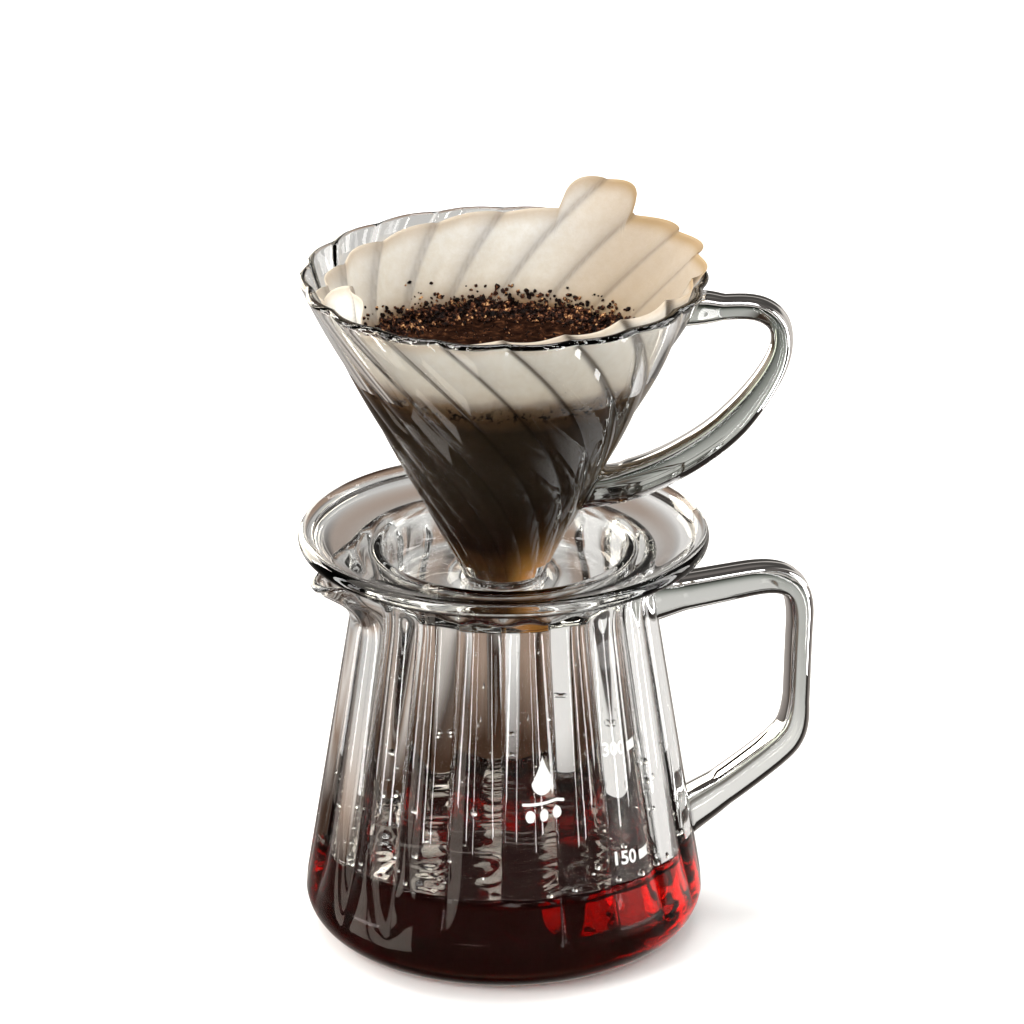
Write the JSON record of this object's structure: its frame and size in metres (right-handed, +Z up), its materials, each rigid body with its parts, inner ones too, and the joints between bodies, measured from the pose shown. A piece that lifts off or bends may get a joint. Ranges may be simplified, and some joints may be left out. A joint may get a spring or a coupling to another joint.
{
  "type": "pour over coffee dripper set",
  "caption": "Spiral-fluted glass cone dripper with a paper filter and brewing coffee, standing on a fluted glass server with a pouring lip and a strap handle.",
  "frame": {"origin": "centre of the server's foot, on the surface it stands on", "axes": "+Z up along the axis of server and dripper, +X towards the server's handle, -X towards its pouring lip"},
  "size_m": [0.1268, 0.0988, 0.1757],
  "materials": {
    "server_glass": "gloss",
    "dripper_glass": "gloss",
    "coffee": "gloss",
    "enamel": "matte",
    "paper": "matte",
    "brew": "gloss",
    "grounds": "matte"
  },
  "bodies": {
    "server": {"server_body": "server_glass", "server_handle": "server_glass", "brewed_coffee": "coffee", "volume_scale": "enamel", "front_mark": "enamel"},
    "dripper": {"dripper_cone": "dripper_glass", "dripper_flange": "dripper_glass", "dripper_handle": "dripper_glass"},
    "filter": {"paper_filter": "paper", "coffee_bed": "grounds", "coffee_slurry": "brew", "grounds_crust": "grounds"}
  },
  "joints": [
    {"name": "dripper_lift", "type": "slide", "parent": "server", "child": "dripper", "axis": [0, 0, 1], "range_m": [0, 0.12]},
    {"name": "filter_lift", "type": "slide", "parent": "dripper", "child": "filter", "axis": [0, 0, 1], "range_m": [0, 0.11]}
  ]
}
